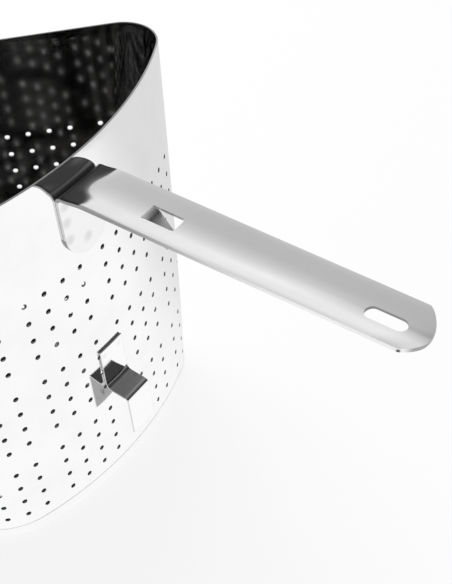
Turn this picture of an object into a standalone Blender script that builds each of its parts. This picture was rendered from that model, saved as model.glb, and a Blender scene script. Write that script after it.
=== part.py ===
"""Pasta basket: a quarter segment for a round stock pot, in perforated sheet steel.

Four pieces: the wrapped wall, the pressed base pan, the strap handle with its lanced tongue, and the
drain hook. The handle points to -Y, the pointed corner of the segment to +Y, and the base stands on
Z = 0 with the origin under the basket. All sizes are in metres.
"""
import math

import bmesh
import bpy
from mathutils import Vector

# Basket body, measured on the outside of the sheet
BASKET_HEIGHT = 0.1933
FRONT_RADIUS = 0.1688
FRONT_REACH = 0.0600
APEX_DEPTH = 0.1336
SEGMENT_ANGLE = math.radians(90.0)
CORNER_RADIUS_RIM = 0.0178
CORNER_RADIUS_BASE = 0.0356
APEX_RADIUS = 0.0150
BODY_SHEET = 0.0008
WELD_GAP = 0.0003

# Base pan, whose upstand is butted to the lower edge of the wall
PAN_HEIGHT = 0.0120
PAN_EDGE_RADIUS = 0.0090

# Perforation in square clusters; a square hole here has the open area of the real round one
HOLE_DIAMETER = 0.0024
HOLE_PITCH = 0.0100
HOLES_PER_CLUSTER = 4
CLUSTER_PERIOD_ROUND = 0.0446
CLUSTER_PERIOD_UP = 0.0457
TOP_ROW_BELOW_RIM = 0.0519
LOW_ROW_MARGIN = 0.0060
BASE_HOLE_MARGIN = 0.0020
CORNER_RUNOUT = 0.0200

# Handle: a tab welded to the wall, a bend, and a dished strap
STRAP_SHEET = 0.0015
TAB_WIDTH = 0.0250
TAB_BELOW_RIM = 0.0459
STRAP_BELOW_RIM = 0.0094
STRAP_BEND_RADIUS = 0.0012
STRAP_ROOT_WIDTH = 0.0253
STRAP_END_WIDTH = 0.0232
STRAP_REACH = 0.1539
STRAP_DROP = 0.0030
TIP_RADIUS = 0.0139
CREST_BELOW_EDGES = 0.00125
DISH_DEPTH_ROOT = 0.0015
DISH_DEPTH_END = 0.0025
DISH_RUN_IN = 0.0105
DISH_FLANK_START = 0.42
DISH_LIP_START = 0.82
DISH_LIP_SLOPE = 0.30
SLOT_WIDTH = 0.0060
SLOT_LENGTH = 0.0163
SLOT_TO_TIP = 0.0088

# Tongue lanced out of the strap and pressed down
TONGUE_REACH = 0.0350
TONGUE_WIDTH = 0.0080
TONGUE_LENGTH = 0.0150
TONGUE_ANGLE = math.radians(52.0)
TONGUE_BEND_RADIUS = 0.0030
TONGUE_CLEARANCE = 0.0003

# Drain hook: plate on the wall, swept shelf and hanging leg
HOOK_SHEET = 0.0010
HOOK_WIDTH = 0.0150
HOOK_TOP_BELOW_RIM = 0.1046
HOOK_PLATE_LENGTH = 0.0207
HOOK_SWEEP_RADIUS = 0.0027
HOOK_SHELF_SLOPE = math.radians(6.0)
HOOK_SHELF_LENGTH = 0.0074
HOOK_LEG_RADIUS = 0.0013
HOOK_LEG_LENGTH = 0.0217

# Facets
ARC_STEP = math.radians(12.0)
BEND_STEPS = 5
ROOT_STATIONS = 5
GRIP_STATIONS = 6
TIP_STEPS = 5
SLOT_STEPS = 8
PAN_EDGE_STEPS = 3

HALF_ANGLE = SEGMENT_ANGLE / 2
QUARTER_TURN = math.pi / 2
HOLE_SIDE = HOLE_DIAMETER * math.sqrt(math.pi) / 2
CLUSTER_SPAN = HOLE_PITCH * (HOLES_PER_CLUSTER - 1)
WALL_FOOT = PAN_HEIGHT + WELD_GAP
TOP_ROW = BASKET_HEIGHT - TOP_ROW_BELOW_RIM
ARC_CENTRE_Y = FRONT_RADIUS - FRONT_REACH
APEX_Y = APEX_DEPTH - FRONT_REACH
SEAT_Y = -FRONT_REACH - WELD_GAP
BEND_OUTSIDE = STRAP_BEND_RADIUS + STRAP_SHEET
MERGE_DISTANCE = 1e-6


def steel(name, colour, roughness):
    """A Principled steel for one sub-part."""
    material = bpy.data.materials.new(name)
    material.use_nodes = True
    shader = material.node_tree.nodes["Principled BSDF"]
    shader.inputs["Base Color"].default_value = (*colour, 1.0)
    shader.inputs["Metallic"].default_value = 1.0
    shader.inputs["Roughness"].default_value = roughness
    return material


def add_part(name, bm, material=None):
    """Put a bmesh into the scene as one named object."""
    mesh = bpy.data.meshes.new(name)
    bm.to_mesh(mesh)
    bm.free()
    part = bpy.data.objects.new(name, mesh)
    bpy.context.collection.objects.link(part)
    if material:
        mesh.materials.append(material)
        mesh.shade_smooth()
        mesh.set_sharp_from_angle(angle=math.radians(30.0))
    return part


def add_cutter(name, bm):
    """A hidden wire object that other parts use in a Boolean."""
    cutter = add_part(name, bm)
    cutter.hide_render = True
    cutter.display_type = "WIRE"
    return cutter


def combine(part, other, operation):
    """Add an exact Boolean modifier to a part."""
    modifier = part.modifiers.new(other.name, "BOOLEAN")
    modifier.operation = operation
    modifier.solver = "EXACT"
    modifier.object = other


def thicken(part, thickness):
    """Give a sheet its thickness, on the side its faces turn away from."""
    modifier = part.modifiers.new("sheet", "SOLIDIFY")
    modifier.thickness = thickness
    modifier.offset = -1.0
    modifier.use_even_offset = True


# Plan outline of the basket

def corner_radius(z):
    """The front corners open out from the rim to the base."""
    share = z / BASKET_HEIGHT
    return CORNER_RADIUS_BASE + (CORNER_RADIUS_RIM - CORNER_RADIUS_BASE) * share


class Outline:
    """One half of the outline at a height: front arc, corner, straight side and half the apex."""

    def __init__(self, z):
        self.corner = corner_radius(z)
        side_offset = math.sin(HALF_ANGLE) * (APEX_Y - ARC_CENTRE_Y)
        lean = math.asin((self.corner - side_offset) / (FRONT_RADIUS - self.corner))
        self.arc_angle = HALF_ANGLE - lean
        reach = FRONT_RADIUS - self.corner
        self.corner_centre = (reach * math.sin(self.arc_angle),
                              ARC_CENTRE_Y - reach * math.cos(self.arc_angle))
        self.apex_centre = (0.0, APEX_Y - APEX_RADIUS / math.sin(HALF_ANGLE))
        corner_end = self.corner_centre[0] + self.corner * math.cos(HALF_ANGLE)
        apex_start = APEX_RADIUS * math.cos(HALF_ANGLE)
        self.arc_length = FRONT_RADIUS * self.arc_angle
        self.corner_length = self.corner * (HALF_ANGLE + QUARTER_TURN - self.arc_angle)
        self.side_length = (corner_end - apex_start) / math.sin(HALF_ANGLE)
        self.apex_length = APEX_RADIUS * (QUARTER_TURN - HALF_ANGLE)
        self.length = self.arc_length + self.corner_length + self.side_length + self.apex_length

    def place(self, length, inset=0.0):
        """The point at a signed length from the crown, moved in by an inset."""
        side = -1.0 if length < 0 else 1.0
        run = abs(length)
        if run <= self.arc_length:
            centre, radius = (0.0, ARC_CENTRE_Y), FRONT_RADIUS
            angle = run / radius - QUARTER_TURN
            along = 0.0
        elif run <= self.arc_length + self.corner_length:
            centre, radius = self.corner_centre, self.corner
            angle = self.arc_angle - QUARTER_TURN + (run - self.arc_length) / radius
            along = 0.0
        elif run <= self.length - self.apex_length:
            centre, radius = self.corner_centre, self.corner
            angle = HALF_ANGLE
            along = run - self.arc_length - self.corner_length
        else:
            centre, radius = self.apex_centre, APEX_RADIUS
            angle = HALF_ANGLE + (run - self.length + self.apex_length) / radius
            along = 0.0
        normal = (math.cos(angle), math.sin(angle))
        x = centre[0] + (radius - inset) * normal[0] - along * normal[1]
        y = centre[1] + (radius - inset) * normal[1] + along * normal[0]
        return side * x, y


REFERENCE = Outline(TOP_ROW)


def sheet_length(s, outline):
    """Carry a column of the flat sheet to its length on the outline at another height.

    Columns on the front keep their distance from the crown and columns on the side keep theirs
    from the apex; the rounded corner between them takes up the difference.
    """
    start = REFERENCE.arc_length
    end = start + REFERENCE.corner_length + CORNER_RUNOUT
    change = outline.length - REFERENCE.length
    run = abs(s)
    share = min(max((run - start) / (end - start), 0.0), 1.0)
    return math.copysign(run + change * share, s)


def cluster_offsets():
    """Hole positions in one cluster, about its centre."""
    return [HOLE_PITCH * k - CLUSTER_SPAN / 2 for k in range(HOLES_PER_CLUSTER)]


def hole_columns():
    """Column positions on one half of the sheet, from the crown to the apex."""
    clusters = int(REFERENCE.length / CLUSTER_PERIOD_ROUND) + 1
    columns = [CLUSTER_PERIOD_ROUND * (k + 0.5) + offset
               for k in range(clusters) for offset in cluster_offsets()]
    limit = REFERENCE.length - REFERENCE.apex_length - HOLE_SIDE / 2
    return [column for column in columns if column < limit]


def hole_rows():
    """Row heights, from the lowest to the top row."""
    lowest = PAN_HEIGHT + LOW_ROW_MARGIN
    clusters = int((TOP_ROW - CLUSTER_SPAN - lowest) / CLUSTER_PERIOD_UP) + 1
    rows = [TOP_ROW - CLUSTER_PERIOD_UP * k - HOLE_PITCH * j
            for k in range(clusters) for j in range(HOLES_PER_CLUSTER)]
    return sorted(rows)


def bands(centres, start, end, extra=()):
    """Split a range at both sides of each hole and at extra lines; tell which bands are holes."""
    lines = [(start, False)]
    for centre in centres:
        lines.append((centre - HOLE_SIDE / 2, True))
        lines.append((centre + HOLE_SIDE / 2, False))
    lines += [(line, False) for line in extra]
    lines.append((end, False))
    lines.sort()
    return [line for line, _ in lines], [is_hole for _, is_hole in lines]


def corner_lines(columns):
    """Extra lines of the sheet where it is bent round the corner and the apex."""
    corner_start = REFERENCE.arc_length
    corner_end = corner_start + REFERENCE.corner_length
    facet = ARC_STEP * REFERENCE.corner
    lines = []
    for low, high in zip(columns, columns[1:]):
        gap = high - low - HOLE_SIDE
        if high < corner_start or low > corner_end:
            continue
        parts = max(int(gap / facet + 0.5), 1)
        lines += [low + HOLE_SIDE / 2 + gap * k / parts for k in range(1, parts)]
    apex_start = REFERENCE.length - REFERENCE.apex_length
    apex_parts = max(int((QUARTER_TURN - HALF_ANGLE) / ARC_STEP + 0.5), 1)
    lines += [apex_start + REFERENCE.apex_length * k / apex_parts for k in range(apex_parts)]
    return lines


# The four pieces

def build_wall():
    """The wall: one perforated sheet wrapped round the segment and joined at the apex."""
    columns = hole_columns()
    half, half_holes = bands(columns, 0.0, REFERENCE.length, corner_lines(columns))
    # The crown is the middle of a bare band, so no line is needed there
    lines = [-s for s in reversed(half[1:])] + half[1:-1]
    hole_bands = list(reversed(half_holes[1:-1])) + [False] + half_holes[1:-1]
    heights, hole_heights = bands(hole_rows(), WALL_FOOT, BASKET_HEIGHT)
    bm = bmesh.new()
    grid = []
    for z in heights:
        outline = Outline(z)
        grid.append([bm.verts.new((*outline.place(sheet_length(s, outline)), z)) for s in lines])
    for low, high, row_holes in zip(grid, grid[1:], hole_heights):
        for k, column_holes in enumerate(hole_bands):
            if row_holes and column_holes:
                continue
            after = (k + 1) % len(lines)
            bm.faces.new((low[k], low[after], high[after], high[k]))
    wall = add_part("basket_wall", bm, steel("polished_wall", (0.80, 0.80, 0.81), 0.16))
    thicken(wall, BODY_SHEET)
    return wall


def inside_base(x, y, margin):
    """True where a base hole keeps its margin to the rounded edge of the pan."""
    outline = Outline(0.0)
    inset = PAN_EDGE_RADIUS + margin
    x = abs(x)
    side_distance = x * math.cos(HALF_ANGLE) + (y - APEX_Y) * math.sin(HALF_ANGLE)
    in_front = math.hypot(x, y - ARC_CENTRE_Y) <= FRONT_RADIUS - inset
    in_side = side_distance <= -inset
    dx = x - outline.corner_centre[0]
    dy = y - outline.corner_centre[1]
    bearing = math.atan2(dy, dx)
    at_corner = outline.arc_angle - QUARTER_TURN < bearing < HALF_ANGLE
    in_corner = not at_corner or math.hypot(dx, dy) <= outline.corner - inset
    return in_front and in_side and in_corner


def base_holes():
    """Centres of the holes in the base, in the same clusters as the wall."""
    span = FRONT_RADIUS
    across = int(span / CLUSTER_PERIOD_ROUND)
    along = int(span / CLUSTER_PERIOD_UP)
    xs = [CLUSTER_PERIOD_ROUND * (k + 0.5) + offset
          for k in range(-across, across) for offset in cluster_offsets()]
    ys = [CLUSTER_PERIOD_UP * (k + 0.5) + offset
          for k in range(-along, along) for offset in cluster_offsets()]
    return [(x, y) for x in xs for y in ys if inside_base(x, y, BASE_HOLE_MARGIN + HOLE_SIDE / 2)]


def build_base_pan():
    """The base: a shallow pressed pan with a rounded edge and a perforated floor."""
    top = Outline(PAN_HEIGHT)
    arc_parts = max(int(3 * top.arc_angle / ARC_STEP + 0.5), 1)
    corner_parts = max(int(top.corner_length / top.corner / ARC_STEP + 0.5), 1)
    apex_parts = max(int(top.apex_length / APEX_RADIUS / ARC_STEP + 0.5), 1)
    shares = [(0, k / arc_parts) for k in range(arc_parts)]
    shares += [(1, k / corner_parts) for k in range(corner_parts)]
    shares += [(2, 0.0)]
    shares += [(3, k / apex_parts) for k in range(apex_parts + 1)]

    def ring(bm, inset, z):
        outline = Outline(z)
        spans = (outline.arc_length, outline.corner_length, outline.side_length, outline.apex_length)
        half = [sum(spans[:index]) + spans[index] * share for index, share in shares]
        lengths = half + [-s for s in reversed(half[1:-1])]
        return [bm.verts.new((*outline.place(s, inset), z)) for s in lengths]

    profile = [(0.0, PAN_HEIGHT)]
    for k in range(PAN_EDGE_STEPS + 1):
        angle = QUARTER_TURN * k / PAN_EDGE_STEPS
        profile.append((PAN_EDGE_RADIUS * (1 - math.cos(angle)), PAN_EDGE_RADIUS * (1 - math.sin(angle))))
    inner_radius = PAN_EDGE_RADIUS - BODY_SHEET
    for k in range(PAN_EDGE_STEPS, -1, -1):
        angle = QUARTER_TURN * k / PAN_EDGE_STEPS
        profile.append((PAN_EDGE_RADIUS - inner_radius * math.cos(angle),
                        PAN_EDGE_RADIUS - inner_radius * math.sin(angle)))
    profile.append((BODY_SHEET, PAN_HEIGHT))
    bm = bmesh.new()
    rings = [ring(bm, inset, z) for inset, z in profile]
    floor_ring = PAN_EDGE_STEPS + 1
    for index, (low, high) in enumerate(zip(rings, rings[1:] + rings[:1])):
        if index == floor_ring:
            continue
        for k in range(len(low)):
            after = (k + 1) % len(low)
            bm.faces.new((low[k], low[after], high[after], high[k]))
    bm.faces.new(rings[floor_ring])
    bm.faces.new(rings[floor_ring + 1])
    bmesh.ops.recalc_face_normals(bm, faces=bm.faces)
    pan = add_part("base_pan", bm, steel("polished_base", (0.80, 0.80, 0.81), 0.18))

    cutters = bmesh.new()
    for x, y in base_holes():
        made = bmesh.ops.create_cube(cutters, size=1.0)["verts"]
        bmesh.ops.scale(cutters, vec=(HOLE_SIDE, HOLE_SIDE, 3 * BODY_SHEET), verts=made)
        bmesh.ops.translate(cutters, vec=(x, y, BODY_SHEET / 2), verts=made)
    bmesh.ops.recalc_face_normals(cutters, faces=cutters.faces)
    combine(pan, add_cutter("base_hole_punch", cutters), "DIFFERENCE")
    return pan


class BentStrip:
    """The face line of a bent strip in the YZ plane, as points with their heading."""

    def __init__(self, y, z, heading):
        self.heading = heading
        self.points = [(y, z, heading)]

    def run(self, length, steps=1):
        """Go straight on."""
        for _ in range(steps):
            y, z, heading = self.points[-1]
            step = length / steps
            self.points.append((y + step * math.cos(heading), z + step * math.sin(heading), heading))
        return self

    def bend(self, radius, turn, steps=BEND_STEPS):
        """Turn on a radius measured on this face; a positive turn is to the left."""
        for _ in range(steps):
            y, z, heading = self.points[-1]
            part = turn / steps
            chord = 2 * radius * math.sin(abs(part) / 2)
            middle = heading + part / 2
            self.points.append((y + chord * math.cos(middle), z + chord * math.sin(middle), heading + part))
        return self


def strip_mesh(rows, skip=None):
    """Join rows of points into a sheet, leaving out the cells that skip names."""
    bm = bmesh.new()
    grid = [[bm.verts.new(point) for point in row] for row in rows]
    for index, (low, high) in enumerate(zip(grid, grid[1:])):
        for column in range(len(low) - 1):
            if skip is None or not skip(index, column):
                bm.faces.new((low[column], low[column + 1], high[column + 1], high[column]))
    return bm, grid


def wall_sag(x):
    """How far the curved wall falls back from the crown at a distance x to one side."""
    radius = FRONT_RADIUS + WELD_GAP
    return radius - math.sqrt(radius * radius - x * x)


def spaced(start, end, parts):
    """Even steps from a start, left out, to an end."""
    return [start + (end - start) * k / parts for k in range(1, parts + 1)]


def prism(outline, low, high):
    """An upright prism between two heights."""
    bm = bmesh.new()
    face = bm.faces.new([bm.verts.new((x, y, low)) for x, y in outline])
    raised = bmesh.ops.extrude_face_region(bm, geom=[face])["geom"]
    moved = [item for item in raised if isinstance(item, bmesh.types.BMVert)]
    bmesh.ops.translate(bm, vec=Vector((0.0, 0.0, high - low)), verts=moved)
    bmesh.ops.recalc_face_normals(bm, faces=bm.faces)
    return bm


# The strap's own shape, by its reach out from the wall

def straight_half_width(reach):
    """Half the width between the straight edges of the strap."""
    share = reach / STRAP_REACH
    return (STRAP_ROOT_WIDTH + (STRAP_END_WIDTH - STRAP_ROOT_WIDTH) * share) / 2


def strap_half_width(reach):
    """Half the width of the strap, which closes in a round tip."""
    past_centre = reach - (STRAP_REACH - TIP_RADIUS)
    if past_centre <= 0:
        return straight_half_width(reach)
    return min(straight_half_width(reach), math.sqrt(max(TIP_RADIUS ** 2 - past_centre ** 2, 0.0)))


def dish_rise(across):
    """The dish from its middle to its edge: a hollow, an even flank and a flatter lip, from 0 to 1."""
    flank = DISH_FLANK_START / 2
    lip = flank + DISH_LIP_START - DISH_FLANK_START
    full = lip + (1 - DISH_LIP_START) * (1 + DISH_LIP_SLOPE) / 2
    if across <= DISH_FLANK_START:
        return across * across / (2 * DISH_FLANK_START) / full
    if across <= DISH_LIP_START:
        return (flank + across - DISH_FLANK_START) / full
    past = (across - DISH_LIP_START) / (1 - DISH_LIP_START)
    return (lip + (1 - DISH_LIP_START) * past * (1 - (1 - DISH_LIP_SLOPE) * past / 2)) / full


def strap_top(x, reach):
    """Height of the strap's upper face: its edges rise from the bend, then it falls gently and is dished."""
    share = reach / STRAP_REACH
    edge = BASKET_HEIGHT - STRAP_BELOW_RIM - STRAP_DROP * share
    ease = min(max((reach - BEND_OUTSIDE) / DISH_RUN_IN, 0.0), 1.0)
    ease = ease * ease * (3 - 2 * ease)
    depth = DISH_DEPTH_ROOT + (DISH_DEPTH_END - DISH_DEPTH_ROOT) * share
    across = min(abs(x) / straight_half_width(reach), 1.0)
    return edge - CREST_BELOW_EDGES * (1 - ease) - depth * ease * (1 - dish_rise(across))


def strap_shares():
    """Column lines as shares of the half width, from the right edge to the left."""
    half = straight_half_width(TONGUE_REACH + TONGUE_LENGTH / 2)
    lance = TONGUE_WIDTH / 2 / half
    side = [1.0, (1.0 + lance) / 2, lance]
    return side + [0.0] + [-share for share in reversed(side)]


def tab_rows(shares):
    """The tab against the wall, from its round foot up to the bend, and then the bend."""
    radius = TAB_WIDTH / 2
    foot = BASKET_HEIGHT - TAB_BELOW_RIM
    bend_foot = strap_top(radius, BEND_OUTSIDE) - BEND_OUTSIDE
    rows = []
    for angle in [0.0] + spaced(0.0, QUARTER_TURN, TIP_STEPS):
        half = radius * math.sin(angle)
        z = foot + radius * (1 - math.cos(angle))
        rows.append([(half * share, SEAT_Y + wall_sag(half * share), z) for share in shares])
    rows.append([(radius * share, SEAT_Y + wall_sag(radius * share), bend_foot) for share in shares])
    for part in spaced(0.0, 1.0, BEND_STEPS):
        angle = QUARTER_TURN * part
        half = radius + (strap_half_width(BEND_OUTSIDE) - radius) * part
        y = SEAT_Y - BEND_OUTSIDE * (1 - math.cos(angle))
        z = bend_foot + BEND_OUTSIDE * math.sin(angle)
        rows.append([(half * share, y + wall_sag(half * share) * (1 - part), z) for share in shares])
    return rows


def strap_reaches():
    """Stations along the strap, with lines at the hinge and the end of the lanced opening."""
    tip_centre = STRAP_REACH - TIP_RADIUS
    tip_angle = math.acos(min(straight_half_width(STRAP_REACH) / TIP_RADIUS, 1.0))
    tip_start = tip_centre + TIP_RADIUS * math.sin(tip_angle)
    reaches = spaced(BEND_OUTSIDE, TONGUE_REACH, ROOT_STATIONS)
    reaches += spaced(TONGUE_REACH, TONGUE_REACH + TONGUE_LENGTH, 2)
    reaches += spaced(TONGUE_REACH + TONGUE_LENGTH, tip_start, GRIP_STATIONS)
    reaches += [tip_centre + TIP_RADIUS * math.sin(angle)
                for angle in spaced(tip_angle, QUARTER_TURN, TIP_STEPS)]
    return reaches


def add_tongue(bm, hinge):
    """Carry the sheet on from the hinge line, bent down through the opening."""
    radius = TONGUE_BEND_RADIUS + STRAP_SHEET
    path = BentStrip(0.0, 0.0, math.pi)
    path.bend(radius, TONGUE_ANGLE)
    path.run(TONGUE_LENGTH - radius * TONGUE_ANGLE)
    narrow = 1 - TONGUE_CLEARANCE / (TONGUE_WIDTH / 2)
    last = hinge
    for y, z, _ in path.points[1:]:
        row = [bm.verts.new((v.co.x * narrow, v.co.y + y, v.co.z + z)) for v in hinge]
        for k in range(len(row) - 1):
            bm.faces.new((last[k], last[k + 1], row[k + 1], row[k]))
        last = row


def slot_outline():
    """The hanging slot: straight sides and round ends."""
    radius = SLOT_WIDTH / 2
    middle = SEAT_Y - STRAP_REACH + SLOT_TO_TIP + SLOT_LENGTH / 2
    half_run = SLOT_LENGTH / 2 - radius
    points = []
    for end in (1.0, -1.0):
        for k in range(SLOT_STEPS + 1):
            angle = math.pi * k / SLOT_STEPS
            points.append((end * radius * math.cos(angle), middle + end * (half_run + radius * math.sin(angle))))
    return points


def build_handle():
    """The handle: tab, bend and dished strap in one strip, with its tongue and hanging slot."""
    shares = strap_shares()
    rows = tab_rows(shares)
    reaches = strap_reaches()
    hinge_row = len(rows) + ROOT_STATIONS - 1
    for reach in reaches:
        half = strap_half_width(reach)
        rows.append([(half * share, SEAT_Y - reach, strap_top(half * share, reach)) for share in shares])
    middle = len(shares) // 2

    def in_opening(row, column):
        return row in (hinge_row, hinge_row + 1) and column in (middle - 1, middle)

    bm, grid = strip_mesh(rows, in_opening)
    add_tongue(bm, grid[hinge_row][middle - 1:middle + 2])
    bmesh.ops.remove_doubles(bm, verts=bm.verts, dist=MERGE_DISTANCE)
    handle = add_part("handle", bm, steel("brushed_handle", (0.72, 0.72, 0.73), 0.24))
    thicken(handle, STRAP_SHEET)
    top = BASKET_HEIGHT
    low = top - STRAP_BELOW_RIM - STRAP_DROP - DISH_DEPTH_END - 3 * STRAP_SHEET
    combine(handle, add_cutter("hanging_slot_punch", prism(slot_outline(), low, top)), "DIFFERENCE")
    return handle


def build_hook():
    """The drain hook: a strip bent out from the wall and down, to hang over a rim."""
    turn = QUARTER_TURN - HOOK_SHELF_SLOPE
    path = BentStrip(SEAT_Y, BASKET_HEIGHT - HOOK_TOP_BELOW_RIM, -QUARTER_TURN)
    path.run(HOOK_PLATE_LENGTH)
    path.bend(HOOK_SWEEP_RADIUS + HOOK_SHEET, -turn)
    path.run(HOOK_SHELF_LENGTH)
    path.bend(HOOK_LEG_RADIUS, turn)
    path.run(HOOK_LEG_LENGTH)
    half = HOOK_WIDTH / 2
    rows = []
    for index, (y, z, heading) in enumerate(path.points):
        bent = min(abs(heading + QUARTER_TURN) / turn, 1.0)
        on_wall = index <= BEND_STEPS + 1
        sag = (1 - bent) if on_wall else 0.0
        rows.append([(x, y + wall_sag(x) * sag, z) for x in (-half, 0.0, half)])
    bm, _ = strip_mesh(rows)
    hook = add_part("drain_hook", bm, steel("polished_hook", (0.74, 0.74, 0.75), 0.20))
    thicken(hook, HOOK_SHEET)
    return hook


def main():
    """Clear the scene and build the four pieces."""
    for item in list(bpy.data.objects):
        bpy.data.objects.remove(item, do_unlink=True)
    build_wall()
    build_base_pan()
    build_handle()
    build_hook()


main()
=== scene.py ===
"""Looks of the pasta basket: a quarter segment of perforated steel for a round stock pot.

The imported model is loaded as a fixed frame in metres. The handle points to -Y, the pointed
corner of the basket to +Y, and the base stands on Z = 0. Each sub-assembly below builds its
finer mesh in place of the CAD solid of the same part and gives it a procedural finish.
"""
from __future__ import annotations

import logging
import math
from dataclasses import dataclass, field
from enum import Enum, IntEnum
from functools import lru_cache
from typing import Callable, Iterable, Mapping, Optional, Sequence, Union

import bmesh
import bpy
from mathutils import Matrix, Vector
from mathutils.geometry import delaunay_2d_cdt


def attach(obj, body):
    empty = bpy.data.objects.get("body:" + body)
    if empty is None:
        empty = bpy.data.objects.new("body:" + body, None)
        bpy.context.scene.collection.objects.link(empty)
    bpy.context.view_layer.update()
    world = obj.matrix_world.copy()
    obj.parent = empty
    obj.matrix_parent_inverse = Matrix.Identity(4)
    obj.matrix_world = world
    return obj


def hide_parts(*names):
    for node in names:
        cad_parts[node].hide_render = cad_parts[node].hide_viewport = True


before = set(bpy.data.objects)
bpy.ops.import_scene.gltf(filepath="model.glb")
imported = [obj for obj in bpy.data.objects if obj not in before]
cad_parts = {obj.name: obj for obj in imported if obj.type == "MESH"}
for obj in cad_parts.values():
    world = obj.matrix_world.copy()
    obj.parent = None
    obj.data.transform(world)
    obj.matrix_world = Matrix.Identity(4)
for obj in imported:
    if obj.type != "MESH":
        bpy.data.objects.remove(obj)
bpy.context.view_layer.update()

log = logging.getLogger("pasta_basket")

Point = tuple[float, float, float]
Flat = tuple[float, float]
Colour = tuple[float, float, float]

BODY = "root"
QUARTER_TURN = math.pi / 2
FULL_TURN = 2 * math.pi
SHARP_ANGLE = math.radians(32.0)
HEIGHT_DIGITS = 7
UP: Point = (0.0, 0.0, 1.0)
DOWN: Point = (0.0, 0.0, -1.0)
BACK: Point = (0.0, 1.0, 0.0)
OUTWARD: Point = (0.0, -1.0, 0.0)
MILL_GREY: Colour = (0.440, 0.434, 0.428)
WHITE = (1.0, 1.0, 1.0, 1.0)
BLACK = (0.0, 0.0, 0.0, 1.0)


# Shader expressions

class Socket:
    """A node's output that can be used in an expression."""

    def __init__(self, wiring: Wiring, output: bpy.types.NodeSocket) -> None:
        """Keep the output and the wiring that its node belongs to."""
        self.wiring = wiring
        self.output = output

    def math(self, operation: str, *values: Value, clamp: bool = False) -> Socket:
        """Put a Math node on values.

        Args:
            operation: The node's operation.
            values: Its inputs in order, as sockets or numbers.
            clamp: Whether the result is held between 0 and 1.

        Returns:
            The node's output.
        """
        settings = {"operation": operation, "use_clamp": clamp}
        return self.wiring.add("ShaderNodeMath", settings, dict(enumerate(values)))

    def __add__(self, other: Value) -> Socket:
        """Return self + other."""
        return self.math("ADD", self, other)

    def __radd__(self, other: Value) -> Socket:
        """Return other + self."""
        return self.math("ADD", other, self)

    def __sub__(self, other: Value) -> Socket:
        """Return self - other."""
        return self.math("SUBTRACT", self, other)

    def __rsub__(self, other: Value) -> Socket:
        """Return other - self."""
        return self.math("SUBTRACT", other, self)

    def __mul__(self, other: Value) -> Socket:
        """Return self * other."""
        return self.math("MULTIPLY", self, other)

    def __rmul__(self, other: Value) -> Socket:
        """Return other * self."""
        return self.math("MULTIPLY", other, self)

    def __truediv__(self, other: Value) -> Socket:
        """Return self / other."""
        return self.math("DIVIDE", self, other)

    def __rtruediv__(self, other: Value) -> Socket:
        """Return other / self."""
        return self.math("DIVIDE", other, self)

    def clamped(self) -> Socket:
        """Return the value held between 0 and 1."""
        return self.math("ADD", self, 0.0, clamp=True)

    def root(self) -> Socket:
        """Return the square root."""
        return self.math("SQRT", self)

    def larger(self, other: Value) -> Socket:
        """Return the larger of the two values."""
        return self.math("MAXIMUM", self, other)

    def eased(self, low: float, high: float) -> Socket:
        """Map low to 0 and high to 1 along a smooth step.

        Args:
            low: The value that gives 0.
            high: The value that gives 1.

        Returns:
            The eased value.
        """
        settings = {"interpolation_type": "SMOOTHSTEP"}
        values = {"Value": self, "From Min": low, "From Max": high, "To Min": 0.0, "To Max": 1.0}
        return self.wiring.add("ShaderNodeMapRange", settings, values)


Value = Union[Socket, float, int, Sequence[float]]


class Wiring:
    """A node tree that is filled by expressions."""

    def __init__(self, tree: bpy.types.NodeTree) -> None:
        """Keep the tree."""
        self.tree = tree

    def add(self, kind: str, settings: Optional[Mapping[str, object]] = None,
            values: Optional[Mapping[Union[str, int], Value]] = None,
            output: Union[str, int] = 0) -> Socket:
        """Add one node.

        Args:
            kind: The node's type.
            settings: Properties that are set before its sockets.
            values: Numbers or sockets for its inputs.
            output: The output to return.

        Returns:
            That output.
        """
        node = self.tree.nodes.new(kind)
        for name, setting in (settings or {}).items():
            setattr(node, name, setting)
        self.feed(node, values or {})
        return Socket(self, node.outputs[output])

    def feed(self, node: bpy.types.Node, values: Mapping[Union[str, int], Value]) -> None:
        """Set or link a node's inputs.

        Args:
            node: The node.
            values: Numbers to set or sockets to link, by input.
        """
        for name, value in values.items():
            if isinstance(value, Socket):
                self.tree.links.new(value.output, node.inputs[name])
            else:
                node.inputs[name].default_value = value

    def dot(self, vector: Socket, direction: Point) -> Socket:
        """Return how far a vector reaches along a direction."""
        return self.add("ShaderNodeVectorMath", {"operation": "DOT_PRODUCT"},
                        {0: vector, 1: direction}, output="Value")

    def distance(self, vector: Socket, place: Point) -> Socket:
        """Return the distance of a vector from a place."""
        return self.add("ShaderNodeVectorMath", {"operation": "DISTANCE"},
                        {0: vector, 1: place}, output="Value")

    def stretched(self, vector: Socket, scale: Point) -> Socket:
        """Return the vector with each axis scaled."""
        return self.add("ShaderNodeVectorMath", {"operation": "MULTIPLY"}, {0: vector, 1: scale})

    def noise(self, vector: Socket, scale: float, detail: float = 2.0,
              roughness: float = 0.5) -> Socket:
        """Return a noise value around 0.5."""
        values = {"Vector": vector, "Scale": scale, "Detail": detail, "Roughness": roughness}
        return self.add("ShaderNodeTexNoise", {"noise_dimensions": "3D"}, values)

    def blend(self, factor: Value, first: Value, second: Value) -> Socket:
        """Mix two colours by a factor."""
        settings = {"data_type": "RGBA", "blend_type": "MIX"}
        return self.add("ShaderNodeMix", settings, {0: factor, 6: first, 7: second}, output=2)


# Finishes

def grey(tone: float, tint: float = 0.0) -> Colour:
    """Return a grey whose blue stands off by a tint."""
    return tone, tone, tone + tint


class Lay(Enum):
    """Which way the fine marks of a finish run, as stretch of the texture along X, Y and Z."""

    NONE = (1.0, 1.0, 1.0)
    ALONG_HANDLE = (60.0, 1.0, 60.0)
    UPRIGHT = (40.0, 40.0, 1.0)
    THROUGH_SHEET = (8.0, 8.0, 3.0)


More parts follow.
